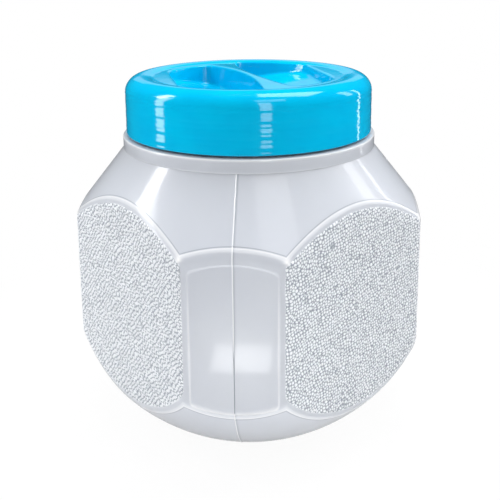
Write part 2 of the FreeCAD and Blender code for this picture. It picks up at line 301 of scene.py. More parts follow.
class JarStageSettings(bpy.types.PropertyGroup):
    """The view and the light"""

    distance: length("Camera distance", "From the jar's axis to the camera", 370)
    height: length("Camera height", "Height of the camera", 218.45)
    swing: turn("Camera swing", "Direction of the camera from the front", 4.995)
    pitch: turn("Camera pitch", "How far the camera looks down", 12.01)
    roll: turn("Camera roll", "How far the camera leans", -0.56)
    lens: bpy.props.FloatProperty(name="Lens", description="Focal length in millimetres",
                                  default=56.744)
    shift: bpy.props.FloatVectorProperty(name="Shift", description="Shift of the picture's frame",
                                         size=2, default=(0.0025, -0.2468))
    sky: bpy.props.FloatProperty(name="Sky", description="Even light on the object", default=0.27)
    gloss: bpy.props.FloatProperty(name="Gloss", default=0.03,
                                   description="How bright the backdrop is in the plastic's gloss")
    paper: colour("Paper", "Colour of the floor", "#FFFFFF")


# Materials

def add_node(tree, kind, settings=None, links=None):
    """Adds a node, sets its sockets or properties, and links its inputs to sockets or to the first outputs
    of other nodes."""
    node = tree.nodes.new("ShaderNode" + kind)
    for name, value in (settings or {}).items():
        if isinstance(name, int) or name in node.inputs:
            node.inputs[name].default_value = value
        else:
            setattr(node, name, value)
    for name, source in (links or {}).items():
        if isinstance(source, bpy.types.Node):
            source = source.outputs[0]
        tree.links.new(source, node.inputs[name])
    return node


def new_material(name):
    """A material without a surface yet, its node tree, and the places on the piece that wears it."""
    material = bpy.data.materials.new(name)
    material.use_nodes = True
    tree = material.node_tree
    tree.nodes.clear()
    return material, tree, add_node(tree, "TexCoord").outputs["Object"]


def set_ends(ramp, *ends):
    """Sets the two ends of a colour ramp, each a place and a colour."""
    for element, (place, tint) in zip(ramp.color_ramp.elements, ends):
        element.position, element.color = place, list(tint)


def mottled(tree, where, size, low_colour, high_colour):
    """A colour that drifts softly between two, over patches of the given size."""
    patches = add_node(tree, "TexNoise", {"Scale": 1 / size, "Detail": 2.0}, {"Vector": where})
    ramp = add_node(tree, "ValToRGB", links={"Fac": patches})
    set_ends(ramp, (0.35, low_colour), (0.65, high_colour))
    return ramp


def uneven(tree, where, size, low, high):
    """A number that varies between two over patches of the given size."""
    patches = add_node(tree, "TexNoise", {"Scale": 1 / size, "Detail": 3.0}, {"Vector": where})
    return add_node(tree, "MapRange", {"From Min": 0.3, "From Max": 0.7, "To Min": low, "To Max": high},
                    {"Value": patches})


def ripple(tree, where, size, height):
    """The faint unevenness of a moulded skin, as a bump."""
    waves = add_node(tree, "TexNoise", {"Scale": 1 / size, "Detail": 2.0}, {"Vector": where})
    return add_node(tree, "Bump", {"Strength": 1.0, "Distance": height}, {"Height": waves})


def fold_highlight_and_shade(tree, where, form):
    """Tone of the folds where the shoulder and the bowl leave the flats: a pale band, partly the thicker
    plastic there, a painted white highlight line and a thin painted grey shade line."""
    across = add_node(tree, "VectorMath", {"operation": "ABSOLUTE"}, {0: where})
    flat, slant = 1 / form.body.panel_distance, 1 / (math.sqrt(2) * form.side_d)
    reach = None
    for direction in ((flat, 0, 0), (0, flat, 0), (slant, slant, 0)):
        share = add_node(tree, "VectorMath", {"operation": "DOT_PRODUCT", 1: direction},
                         {0: across}).outputs["Value"]
        if reach:
            share = add_node(tree, "Math", {"operation": "MAXIMUM"}, {0: reach, 1: share})
        reach = share
    width = FOLD_REACH * form.fold_slope / form.side_d
    place = add_node(tree, "MapRange", {"From Min": 1.0, "From Max": 1 - width}, {"Value": reach})
    tones = add_node(tree, "ValToRGB", links={"Fac": place})
    stops = tones.color_ramp.elements
    for position, tone in FOLD_HIGHLIGHT_AND_SHADE:
        stops.new(position / FOLD_REACH).color = [0.5 + tone / 2] * 3 + [1.0]
    stops[0].color = stops[-1].color = [0.5] * 3 + [1.0]
    return add_node(tree, "MapRange", {"To Min": -1.0, "To Max": 1.0}, {"Value": tones})


def milky_plastic(name, form, folded):
    """Blown polypropylene, unpigmented: the wall scatters light, so it looks milky and lets some
    light through, under a skin as smooth as the mould. Where it folds it is thicker and looks whiter, and its
    colour also carries painted highlights and painted shade: along the folds, round the fields, on the seam,
    at the panels' upper ends and corners, and on the collar."""
    body = form.body
    material, tree, where = new_material(name)
    tone = add_node(tree, "Attribute", {"attribute_name": MARK}).outputs["Fac"]
    if folded:
        tone = add_node(tree, "Math", {"operation": "ADD"}, {0: tone, 1: fold_highlight_and_shade(tree, where, form)})
    fade = add_node(tree, "Math", {"operation": "MULTIPLY", 1: -1.0}, {0: tone})
    plain = mottled(tree, where, 40 * MM, body.plastic_thick, body.plastic)
    # Painted highlight: the colour goes to white where the tone is above 0
    white = add_node(tree, "Mix", {"data_type": "RGBA", MIX_TO: list(body.thick_white_and_highlight)},
                     {MIX_SHARE: tone, MIX_FROM: plain}).outputs[MIX_RESULT]
    # Painted shade: the colour goes to grey where the tone is below 0
    shade = add_node(tree, "Mix", {"data_type": "RGBA", MIX_TO: list(body.painted_shade_grey)},
                     {MIX_SHARE: fade, MIX_FROM: white}).outputs[MIX_RESULT]
    clear = add_node(tree, "MapRange", {"To Min": 0.35, "To Max": 0.0}, {"Value": tone})
    skin = add_node(tree, "BsdfPrincipled",
                    {"IOR": 1.49, "Specular IOR Level": 0.2, "Coat Weight": 0.6, "Coat Roughness": 0.08,
                     "Coat IOR": 1.49},
                    {"Base Color": shade, "Transmission Weight": clear,
                     "Roughness": uneven(tree, where, 9 * MM, 0.33, 0.39),
                     "Normal": ripple(tree, where, 5 * MM, 0.02 * MM)})
    add_node(tree, "OutputMaterial", links={"Surface": skin})
    return material


def grained_plastic(body):
    """The same polypropylene, blown against an etched mould: pebbles that scatter light and look white.
    The colour follows the pebbles' height as painted light and shade: white on the tops, partly the plastic's
    own white and partly painted light, and painted grey shade in the gaps."""
    material, tree, where = new_material("Blown polypropylene, grained")
    height = add_node(tree, "Attribute", {"attribute_name": MARK}).outputs["Fac"]
    # Painted light and shade of the grain, by the pebbles' height: painted grey shade in the gaps, white on
    # the tops
    shade = add_node(tree, "ValToRGB", links={"Fac": height})
    set_ends(shade, (0.05, body.grain_gap_shade), (0.5, body.grain_top))
    skin = add_node(tree, "BsdfPrincipled",
                    {"IOR": 1.49, "Specular IOR Level": 0.2, "Transmission Weight": 0.1, "Coat Weight": 0.5,
                     "Coat Roughness": 0.12, "Coat IOR": 1.49},
                    {"Base Color": shade, "Roughness": uneven(tree, where, 3 * MM, 0.3, 0.42),
                     "Normal": ripple(tree, where, 0.8 * MM, 0.02 * MM)})
    add_node(tree, "OutputMaterial", links={"Surface": skin})
    return material


def blue_plastic(lid):
    """Injection-moulded polypropylene, pigmented blue: a deep even colour under a bright gloss, with
    faint flow marks."""
    material, tree, where = new_material("Moulded polypropylene, sky blue")
    skin = add_node(tree, "BsdfPrincipled", {"IOR": 1.49},
                    {"Base Color": mottled(tree, where, 14 * MM, lid.plastic, lid.plastic_pale),
                     "Roughness": uneven(tree, where, 6 * MM, 0.05, 0.09),
                     "Normal": ripple(tree, where, 4 * MM, 0.015 * MM)})
    add_node(tree, "OutputMaterial", links={"Surface": skin})
    return material


def foam(lid):
    """Closed-cell polyethylene foam, cut from sheet: dull and soft, with cells of about half a
    millimetre."""
    material, tree, where = new_material("Polyethylene foam")
    cells = add_node(tree, "TexVoronoi", {"Scale": 1 / (0.55 * MM)}, {"Vector": where})
    shade = add_node(tree, "ValToRGB", links={"Fac": cells})
    set_ends(shade, (0, lid.foam), (1, lid.foam_shade))
    bump = add_node(tree, "Bump", {"Strength": 0.8, "Distance": 0.1 * MM, "invert": True},
                    {"Height": cells})
    skin = add_node(tree, "BsdfPrincipled", {"IOR": 1.45, "Roughness": 0.85},
                    {"Base Color": shade, "Normal": bump})
    add_node(tree, "OutputMaterial", links={"Surface": skin})
    return material


# Meshes

def lattice(points, wrap=True, keep=None):
    """A patch of quads over rows of points. Wrapped rows close on themselves."""
    rows, columns = points.shape[:2]
    row = np.arange(rows - 1)[:, None]
    column = np.arange(columns if wrap else columns - 1)[None, :]
    after = (column + 1) % columns
    quads = np.stack([row * columns + column, row * columns + after,
                      (row + 1) * columns + after, (row + 1) * columns + column], -1)
    quads = quads.reshape(-1, 4)
    if keep is not None:
        quads = quads[keep.reshape(-1)[quads].all(1)]
    return points.reshape(-1, 3), quads


def flipped(patch):
    """The same patch, seen from its other side."""
    points, faces = patch
    return points, faces[:, ::-1]


def welded(name, patches, painted_tones=None):
    """One smooth mesh of several patches, with shared edges joined and loose points removed.
    Painted tones of light and shade, one for each point, are kept for the material."""
    mesh = bpy.data.meshes.new(name)
    points, faces, count = [], [], 0
    for patch_points, patch_faces in patches:
        points.append(patch_points)
        faces += (np.asarray(patch_faces) + count).tolist()
        count += len(patch_points)
    mesh.from_pydata(np.concatenate(points), [], faces)
    if painted_tones is not None:
        mesh.attributes.new(MARK, "FLOAT", "POINT").data.foreach_set("value", painted_tones)
    shape = bmesh.new()
    shape.from_mesh(mesh)
    bmesh.ops.delete(shape, geom=[v for v in shape.verts if not v.link_faces], context="VERTS")
    bmesh.ops.remove_doubles(shape, verts=shape.verts, dist=0.002 * MM)
    for face in shape.faces:
        face.smooth = True
    shape.to_mesh(mesh)
    shape.free()
    return mesh


def add_piece(name, patches, material, body, node, slot, painted_tones=None):
    """A finished piece that stands for a solid of the frame and moves with its body."""
    piece = bpy.data.objects.new(name, welded(name, patches, painted_tones))
    bpy.context.scene.collection.objects.link(piece)
    piece.data.materials.append(material)
    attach(piece, body)
    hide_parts(node)
    return piece


def smooth_max(a, b, blend):
    """The larger of two distances, softened where they are about equal."""
    overlap = np.maximum(blend - np.abs(a - b), 0)
    return np.maximum(a, b) + overlap ** 2 / (4 * blend)


def smooth_step(t):
    """A soft rise from 0 to 1."""
    t = np.clip(t, 0, 1)
    return t * t * (3 - 2 * t)


def solved(distance, low, high, steps=36):
    """Where distance(s) changes sign between low and high, for arrays, by halving."""
    for _ in range(steps):
        middle = (low + high) / 2
        outside = distance(middle) > 0
        high = np.where(outside, middle, high)
        low = np.where(outside, low, middle)
    return (low + high) / 2


def steps(*stretches):
    """Values along stretches, each given as its end and its step, from the first value on."""
    values = [stretches[0]]
    for end, step in stretches[1:]:
        start = values[-1]
        count = max(1, round((end - start) / step))
        values += [start + (end - start) * (n + 1) / count for n in range(count)]
    return np.array(values)


def bell(distance, width):
    """1 at no distance, falling away softly over a width."""
    return np.exp(-(distance / width) ** 2)


def polar(r, azimuth, z):
    """Points at radii, azimuths and heights."""
    return np.stack(np.broadcast_arrays(r * np.cos(azimuth), r * np.sin(azimuth), z), -1)


def lathe(profile, azimuth):
    """Points of an outline of (r, z) turned about the axis."""
    r, z = np.array(profile).T[..., None]
    return polar(r, azimuth, z)


def bend(start, corner, end, count=6):
    """A soft corner of an outline, from start to end."""
    t = np.linspace(0, 1, count + 1)[:, None]
    start, corner, end = np.array(start), np.array(corner), np.array(end)
    return [tuple(p) for p in (1 - t) ** 2 * start + 2 * t * (1 - t) * corner + t ** 2 * end]


def sweep_arc(centre, radius, start, end, count):
    """Points of a round stretch of an outline, between two angles in degrees."""
    angles = np.radians(np.linspace(start, end, count + 1))
    return [(centre[0] + radius * math.cos(a), centre[1] + radius * math.sin(a)) for a in angles]


class BlownForm:
    """The jar's form: flats, panels, shoulder and bowl, softened where they meet."""

    def __init__(self, body):
        self.body = body
        self.corner_r = body.panel_distance / math.cos(body.panel_half_angle)
        self.panel_half = self.corner_r * math.sin(body.panel_half_angle)
        side_half_angle = math.pi / 4 - body.panel_half_angle
        self.side_d = self.corner_r * math.cos(side_half_angle)
        self.side_half = self.corner_r * math.sin(side_half_angle)
        self.drop = body.shoulder_top - body.shoulder_low
        self.spread = self.corner_r - body.shoulder_radius
        self.fold_slope = self.spread / math.hypot(self.drop, self.spread)
        chord = math.hypot(self.corner_r - body.foot_radius, body.bowl_top)
        bulge = chord * body.bowl_bulge
        self.bowl_arc = chord ** 2 / (8 * bulge) + bulge / 2
        reach = (self.bowl_arc - bulge) / chord
        self.bowl_r = (self.corner_r + body.foot_radius) / 2 - body.bowl_top * reach
        self.bowl_z = body.bowl_top / 2 + (self.corner_r - body.foot_radius) * reach

    def shoulder(self, z):
        """Radius of the shoulder's cone."""
        return self.body.shoulder_radius + (self.body.shoulder_top - z) * self.spread / self.drop

    def distance(self, r, azimuth, z):
        """Distance from the outer wall. Negative inside."""
        x, y = np.abs(r * np.cos(azimuth)), np.abs(r * np.sin(azimuth))
        panels = np.maximum(x, y) - self.body.panel_distance
        sides = (x + y) / math.sqrt(2) - self.side_d
        cone = (r - self.shoulder(z)) * self.drop / math.hypot(self.drop, self.spread)
        bowl = np.hypot(r - self.bowl_r, np.minimum(z - self.bowl_z, 0)) - self.bowl_arc
        upright = smooth_max(panels, sides, UPRIGHT_BLEND)
        return smooth_max(smooth_max(upright, cone, ARCH_BLEND), bowl, BOWL_BLEND)

    def radius(self, azimuth, z, inset=0.0):
        """Radius of the wall, moved in by inset."""
        low = np.full(np.broadcast(azimuth, z).shape, self.bowl_r)
        return solved(lambda r: self.distance(r, azimuth, z) + inset, low, low + self.corner_r)

    def field_margin(self, u, z):
        """Distance from the edge of a corner panel's field, at u across the panel. Negative inside."""
        body = self.body
        half = self.panel_half - body.field_border
        curve = body.field_arch * (u / half) ** 2
        ends = np.maximum(z - body.field_top + curve, body.field_low + curve - z)
        return smooth_max(np.abs(u) - half, ends, FIELD_CORNER)

    def seam(self, u, z, front):
        """Rise of the mould seam, from 0 to 1, with a knob at the top of the front field."""
        knob_z = self.body.field_top - SEAM_BEAD
        knob = bell(np.hypot(u, z - knob_z), SEAM_BEAD)
        return np.maximum(bell(u, SEAM_WIDTH), knob * front)

    def painted_tones(self, u, z, on_seam):
        """Painted light and shade of the panels, their fields' edges and the seam: a painted highlight round
        each field, painted shade at a panel's upper end and a painted glint at its upper corners. The seam
        has a painted white highlight, but painted grey shade with a highlighted flank in the field's lower
        half."""
        body = self.body
        # Painted highlight round each field, painted shade at a panel's upper end and a painted glint at its
        # upper corners
        edge = FIELD_HIGHLIGHT * bell(self.field_margin(u, z), FIELD_LINE)
        on_panel = (np.abs(u) < self.panel_half) & (z < body.shoulder_low)
        edge -= PANEL_SHADE * smooth_step((z - PANEL_SHADE_LOW) / PANEL_SHADE_REACH) * on_panel
        corner = np.hypot(np.abs(u) - self.panel_half, z - body.shoulder_low)
        edge += GLINT_TONE * bell(corner, GLINT_REACH)
        low, high = body.field_low, (body.field_low + body.field_top) / 2
        lower = smooth_step((z - low) / SEAM_LOW_FADE) * smooth_step((high - z) / SEAM_HIGH_FADE)
        line = bell(u, SEAM_WIDTH)
        # Painted highlight on the seam and painted shade beside it; in the field's lower half, painted shade
        # with a highlighted flank
        white = SEAM_HIGHLIGHT * line + SEAM_FLANK_SHADE * bell(u - 2 * SEAM_WIDTH, SEAM_WIDTH)
        grey = SEAM_LOW_SHADE * line + SEAM_LOW_FLANK_HIGHLIGHT * bell(u + SEAM_WIDTH, SEAM_WIDTH)
        return np.where(on_seam, np.maximum(edge, 0) + white * (1 - lower) + grey * lower, edge)

    def grain_margin(self, u, z):
        """Distance from the grain's edge on a wide side, at u across it. Negative inside."""
        r = np.hypot(self.side_d, u)
        arch = (z - self.arch(r)) * GRAIN_SLANT + GRAIN_TOP_GAP
        floor = self.bowl_z - np.sqrt(np.maximum(self.bowl_arc ** 2 - (r - self.bowl_r) ** 2, 0))
        low = (floor - z) * GRAIN_SLANT + GRAIN_LOW_GAP
        upright = np.abs(u) - self.side_half - GRAIN_SIDE_LAP
        return smooth_max(smooth_max(upright, arch, GRAIN_TOP_CORNER), low, GRAIN_LOW_CORNER)

    def arch(self, r):
        """Height of the shoulder's cone at a radius."""
        return self.body.shoulder_top - (r - self.body.shoulder_radius) * self.drop / self.spread

    def base(self, inset=0.0):
        """Outline of the underside, from the axis to the foot of the bowl."""
        body = self.body
        dome_r = (body.foot_inner_radius ** 2 + body.base_rise ** 2) / (2 * body.base_rise)
        inner, foot = body.foot_inner_radius, body.foot_radius
        soft = 2.0 * MM
        dome = [(r, body.base_rise - dome_r + math.sqrt(dome_r ** 2 - r ** 2))
                for r in np.linspace(0, inner - soft, 14)]
        rise = foot + soft - self.bowl_r
        rise_z = self.bowl_z - math.sqrt(self.bowl_arc ** 2 - rise ** 2)
        outline = dome[:-1] + bend(dome[-1], (inner, 0), (inner + soft, 0))
        outline += bend((foot - soft, 0), (foot, 0), (foot + soft, rise_z))
        return [(r, z + inset) for r, z in outline]


def column_angles():
    """Azimuths of the shell's columns: close together at the seams, field borders and edges."""
    half = steps(0, (0.5, 0.1), (12.2, 0.55), (13.6, 0.13), (17.2, 0.3), (45, 1.0))
    sector = np.concatenate([-half[:0:-1], half])[:-1]
    return np.radians(np.concatenate([sector + 90 * n for n in range(4)]))


def shell_rows(form):
    """Points of the smooth outer wall, whether each is clear of the grain, and its painted tone of light and
    shade.
    """
    azimuth = column_angles()
    body = form.body
    base = lathe(form.base(), azimuth)
    x = base[..., 0]
    dome = base[..., 2] > 0.5 * MM
    base[..., 2] -= np.where(dome & (np.hypot(x, base[..., 1]) < body.foot_inner_radius),
                             PINCH_RISE * bell(x, PINCH_WIDTH), 0)
    first = base[-1, 0, 2]
    z = steps(first / MM, (31, 0.9), (43, 0.32), (95, 1.5), (104, 0.32), (122, 0.7),
              (body.shoulder_top / MM, 1.1))[1:, None] * MM
    r = form.radius(azimuth[None, :], z)
    nearest = np.round(azimuth / QUARTER) * QUARTER
    u = r * np.sin(azimuth - nearest)
    on_seam = np.abs(np.cos(nearest)) < 0.5
    front = on_seam & (np.sin(azimuth) < 0)
    depth = body.field_depth * smooth_step(0.5 - form.field_margin(u, z) / FIELD_BEVEL)
    rise = np.where(on_seam, SEAM_RISE * form.seam(u, z, front), 0)
    tone = form.painted_tones(u, z, on_seam)
    r = r + (rise - depth) / np.cos(azimuth - nearest)
    wall = polar(r, azimuth, z)
    side = (np.floor(azimuth / QUARTER) + 0.5) * QUARTER
    margin = form.grain_margin(r * np.sin(azimuth - side), z)
    clear = np.concatenate([np.ones(base.shape[:2], bool), margin > -GRAIN_LAP])
    tone = np.concatenate([np.zeros(base.shape[:2]), tone])
    return np.concatenate([base, wall]), clear, tone.ravel()


def pebbles(u, z, spacing, cell, seed):
    """Height of a packed pebble grain, from 0 to 1: rounded cells in swaying rows, stretched along a lean,
    with thin gaps. The cells' middles stray and their tops differ."""
    draw = np.random.default_rng(seed)
    lean, long, wide = cell
    sway = ROW_SWAY * np.sin(u / (SWAY_U * spacing) + SWAY_TWIST * np.sin(z / (SWAY_Z * spacing)))
    along = (u * math.cos(lean) + z * math.sin(lean)) / (long * spacing) + sway
    across = (z * math.cos(lean) - u * math.sin(lean)) / (wide * spacing) - sway
    i, j = np.floor(along).astype(int), np.floor(across).astype(int)
    i0, j0 = i.min() - 1, j.min() - 1
    shape = (i.max() - i0 + 2, j.max() - j0 + 2)
    stray = ROW_STRAY * wide / long
    centre_i = draw.uniform(*PEBBLE_PLACES, shape)
    centre_j = draw.uniform(0.5 - stray, 0.5 + stray, shape)
    tops = draw.uniform(*PEBBLE_TOPS, shape)
    first, second, top = np.full(u.shape, np.inf), np.full(u.shape, np.inf), np.zeros(u.shape)
    for di in (-1, 0, 1):
        for dj in (-1, 0, 1):
            near = (i - i0 + di, j - j0 + dj)
            far = np.hypot(along - i - di - centre_i[near], across - j - dj - centre_j[near])
            nearer = far < first
            second = np.where(nearer, first, np.minimum(second, far))
            top = np.where(nearer, tops[near], top)
            first = np.minimum(first, far)
    dome = np.maximum(1 - (first / PEBBLE_ROUND) ** 2, 0)
    slope = smooth_step((second - first) / PEBBLE_GAP)
    return top * slope * (PEBBLE_FLAT + (1 - PEBBLE_FLAT) * dome)


def grained_side(form, number):
    """One wide side's pebbled skin, on the wall's form."""
    body = form.body
    reach = form.side_half + 2 * GRAIN_FADE
    u = np.arange(-reach, reach, GRAIN_STEP)[None, :]
    z = np.arange(body.base_rise, form.arch(form.side_d), GRAIN_STEP)[:, None]
    u, z = np.broadcast_arrays(u, z)
    local = np.arctan2(u, form.side_d)
    margin = form.grain_margin(u, z)
    keep = margin < GRAIN_FADE
    r = np.full(u.shape, form.side_d)
    r[keep] = form.radius(math.pi / 4 + local[keep], z[keep])
    inside = smooth_step(0.5 - margin / GRAIN_FADE)
    height = pebbles(u, z, body.pebble, GRAIN_CELLS[number % 2], number)
    lift = inside * (body.pebble_height * height + GRAIN_SINK) - GRAIN_SINK
    side = QUARTER * (number + 0.5)
    x = r * np.cos(side + local) + lift * math.cos(side)
    y = r * np.sin(side + local) + lift * math.sin(side)
    return lattice(np.stack([x, y, z], -1), wrap=False, keep=keep), height.ravel()


def neck_outline(form):
    """Outline of the collar, the neck and its bore, from the shoulder over the lip and down inside."""
    body = form.body
    top = body.shoulder_top + body.collar_height
    collar, neck, soft = body.collar_radius, body.neck_radius, COLLAR_ROUND
    bore, lip, lip_soft = neck - body.neck_wall, body.lip_height, LIP_ROUND
    low = body.shoulder_top
    edge = 0.4 * MM
    outline = [(body.shoulder_radius - edge, low)]
    outline += bend((collar - edge, low), (collar, low), (collar, low + edge), 3)
    outline += [(collar, low + share * body.collar_height) for share in (0.15, 0.5, 0.75)]
    outline += bend((collar, top - soft), (collar, top), (collar - soft, top))
    outline += bend((neck + soft, top), (neck, top), (neck, top + soft))
    outline += [(neck, z) for z in np.linspace(top + 2 * soft, lip - 2 * lip_soft, 8)]
    outline += bend((neck, lip - lip_soft), (neck, lip), (neck - lip_soft, lip))
    outline += bend((bore + lip_soft, lip), (bore, lip), (bore, lip - lip_soft))
    outline += [(bore, z) for z in np.linspace(lip - 2 * lip_soft, top - body.wall, 8)]
    return outline


def inner_rows(form):
    """Points of the wall's inner face, from the middle of the base up to the neck's bore."""
    body = form.body
    azimuth = np.radians(np.arange(0, 360, 1.5))
    base = lathe(form.base(body.wall), azimuth)
    first = base[-1, 0, 2] + 2 * MM
    z = np.linspace(first, body.shoulder_top, 70)[:, None]
    r = form.radius(azimuth[None, :], z, body.wall)
    wall = polar(r, azimuth, z)
    shelf_z = body.shoulder_top + body.collar_height - body.wall
    hollow_r = float(r[-1].mean())
    bore = body.neck_radius - body.neck_wall
    shelf = lathe([(hollow_r, (body.shoulder_top + shelf_z) / 2), (hollow_r, shelf_z - 1 * MM),
                   (hollow_r - 1 * MM, shelf_z), (bore, shelf_z)], azimuth)
    return np.concatenate([base, wall, shelf])


def thread_span(scene):
    """Height where the neck's ridges begin, and how far they climb."""
    thread = scene.jar_thread
    low = scene.jar_lid.edge + thread.neck_low
    return low, scene.jar_body.lip_height - thread.neck_drop - low


def ridges(thread, root_r, height, low_z, climb):
    """Thread ridges on a round wall. A negative height stands inwards."""
    full = 2 * math.pi * climb / thread.lead
    along = np.linspace(0, full, 181)
    fade = np.sin(np.clip(np.minimum(along, full - along) / thread.fade, 0, 1) * QUARTER)
    rise = height * (RIDGE_END + (1 - RIDGE_END) * fade)
    sink = math.copysign(RIDGE_SINK, height)
    half_root, half_crest = thread.root_width / 2, thread.crest_width / 2
    section = [(0, half_root), (RIDGE_SHOULDER, half_crest + RIDGE_ROUND), (1, half_crest - RIDGE_ROUND)]
    section = [(share, -dz) for share, dz in section] + section[::-1]
    patches = []
    for start in range(thread.starts):
        azimuth = along + 2 * math.pi * start / thread.starts
        rows = []
        for share, dz in section:
            r = root_r - sink + (rise + sink) * share
            z = low_z + dz + thread.lead * along / (2 * math.pi)
            rows.append(polar(r, azimuth, z))
        rows = np.stack(rows)
        end = np.arange(len(section))[None, :]
        patch = lattice(np.concatenate([rows, rows[:1]]), wrap=False)
        caps = [(rows[:, 0], end), (rows[:, -1], end[:, ::-1])]
        patches += [patch if height > 0 else flipped(patch)]
        patches += caps if height > 0 else [flipped(cap) for cap in caps]
    return patches


class LidForm:
    """The lid's heights and the outlines of its finger pockets."""

    def __init__(self, lid):
        self.lid = lid
        self.crest_r = lid.radius - lid.rim_round
        self.deck_r = self.crest_r - lid.rim_slope
        self.deck_z = lid.crest - lid.deck_drop
        self.plate_z = self.deck_z - lid.wall
        self.skirt_r = lid.radius - lid.wall
        self.pocket_r = self.crest_r - (lid.wide_margin + lid.narrow_margin) / 2
        self.shift = (lid.narrow_margin - lid.wide_margin) / 2
        self.side_d = self.pocket_r - lid.pocket_side_inset
        self.middle = (lid.bar_waist / 2 + self.side_d) / 2

    def pocket(self, u, v, grow):
        """Distance from a pocket's wall moved out by grow, at u across the grip bar and v along it.
        Negative inside."""
        lid = self.lid
        ends = np.hypot(u, v - self.shift) - self.pocket_r
        bar = np.hypot(u - lid.bar_waist / 2 - lid.bar_side, v) - lid.bar_side
        turned = lid.pocket_side_turn
        wall = u * math.cos(turned) - v * math.sin(turned) - self.side_d
        wide = smooth_step(0.5 + v / self.pocket_r)
        soft = lid.narrow_corner + (lid.wide_corner - lid.narrow_corner) * wide
        edge = smooth_max(smooth_max(ends, bar, soft), wall, soft)
        return np.maximum(edge - grow, BAR_CORE - u)

    def deck(self, u, v):
        """Height of the top: the rim's inner slope, and the deck with the grip bar's slight crown."""
        lid = self.lid
        r = np.hypot(u, v)
        slope_r = (lid.rim_slope ** 2 + lid.deck_drop ** 2) / (2 * lid.deck_drop)
        inwards = np.clip(self.crest_r - r, 0, lid.rim_slope)
        slope = lid.crest - slope_r + np.sqrt(slope_r ** 2 - inwards ** 2)
        flat = np.clip(1 - (r / self.deck_r) ** 2, 0, 1)
        return slope + lid.bar_crown * flat * bell(u, CROWN_WIDTH)

    def underside(self, u, v):
        """Height of the top's flat underside."""
        return np.full_like(u, self.plate_z)

    def floor(self, u):
        """Height of a pocket's sloping floor."""
        lid = self.lid
        inner = lid.bar_waist / 2
        share = (u - inner) / (self.pocket_r + self.shift - inner)
        deep, far = lid.crest - lid.pocket_depth, lid.crest - lid.pocket_lip_depth
        return deep + (far - deep) * share

    def outline(self, offset, count=240):
        """Points (u, v) of a pocket's outline, moved out by offset."""
        angle = np.linspace(0, 2 * math.pi, count, endpoint=False)
        low = np.zeros(count)
        reach = solved(lambda s: self.pocket(self.middle + s * np.cos(angle), s * np.sin(angle), offset),
                       low, low + self.lid.radius)
        return self.middle + reach * np.cos(angle), reach * np.sin(angle)

    def place(self, u, v, z, side):
        """Points of the lid from places across and along the bar. Side 1 is the mirrored pocket."""
        angle = self.lid.bar_angle + math.pi * side
        return np.stack([u * math.cos(angle) - v * math.sin(angle),
                         u * math.sin(angle) + v * math.cos(angle), z], -1)

    def bowl_loops(self, edge, wall, top, floor_drop):
        """Loops down a pocket: its rounded edge, its wall, its rounded floor and the floor."""
        loops = []
        for t in np.linspace(0, QUARTER, 6):
            u, v = self.outline(wall + edge * (1 - math.sin(t)))
            loops.append((u, v, top(u, v) - edge * (1 - math.cos(t))))
        lean = POCKET_DRAFT if wall == 0 else 0
        for t in np.linspace(0.15, 1, 6):
            u, v = self.outline(wall - lean * t)
            high, low = top(u, v) - edge, self.floor(u) - floor_drop + POCKET_FLOOR
            loops.append((u, v, high + (low - high) * t))
        for t in np.linspace(QUARTER / 5, QUARTER, 5):
            u, v = self.outline(wall - lean - POCKET_FLOOR * (1 - math.cos(t)))
            loops.append((u, v, self.floor(u) - floor_drop + POCKET_FLOOR * (1 - math.sin(t))))
        u, v = loops[-1][:2]
        for share in np.linspace(0.85, 0, 7):
            near = self.middle + (u - self.middle) * share
            loops.append((near, v * share, self.floor(near) - floor_drop))
        return loops

    def pocket_patches(self, edge, wall, top, floor_drop):
        """Both pockets' loops as patches."""
        loops = self.bowl_loops(edge, wall, top, floor_drop)
        return [lattice(np.stack([self.place(u, v, z, side) for u, v, z in loops])) for side in (0, 1)]

    def plate(self, rim_r, azimuth, offset, height, spacing, slope=0.0):
        """The part round the pockets, from a round rim to the pockets' outlines. Its points lie in rings
        where the rim slopes."""
        u, v = self.outline(offset)
        loops = [np.stack([rim_r * np.cos(azimuth), rim_r * np.sin(azimuth)], -1)]
        loops += [self.place(u, v, np.zeros_like(u), side)[:, :2] for side in (0, 1)]
        edges, count = [], 0
        for loop in loops:
            number = np.arange(len(loop))
            edges += np.stack([number + count, (number + 1) % len(loop) + count], -1).tolist()
            count += len(loop)
        grid = np.arange(-rim_r, rim_r, spacing)
        x, y = (a.ravel() for a in np.meshgrid(grid, grid))
        level = np.hypot(x, y) < rim_r - slope - spacing / 2
        rings = np.zeros((0, 1))
        if slope:
            rings = np.arange(rim_r - slope, rim_r - spacing / 2, spacing / 2)[:, None]
        x = np.concatenate([x[level], (rings * np.cos(azimuth)).ravel()])
        y = np.concatenate([y[level], (rings * np.sin(azimuth)).ravel()])
        free = self.clearance(x, y, offset) > spacing / 3
        points = np.concatenate(loops + [np.stack([x[free], y[free]], -1)]) / MM
        made = delaunay_2d_cdt([tuple(p) for p in points], edges, [], 1, 1e-5)
        flat = np.array([tuple(p) for p in made[0]]) * MM
        faces = np.array([f for f in made[2] if len(f) == 3])
        middle = flat[faces].mean(1)
        faces = faces[(self.clearance(*middle.T, offset) > 0) & (np.hypot(*middle.T) < rim_r)]
        u, v = self.across(*flat.T, 0)
        return np.column_stack([flat, height(u, v)]), faces

    def clearance(self, x, y, offset):
        """Distance from the nearer pocket's outline."""
        return np.minimum(*[self.pocket(*self.across(x, y, side), offset) for side in (0, 1)])

    def across(self, x, y, side):
        """Places across and along the bar from points of the lid."""
        angle = self.lid.bar_angle + math.pi * side
        return (x * math.cos(angle) + y * math.sin(angle),
                y * math.cos(angle) - x * math.sin(angle))

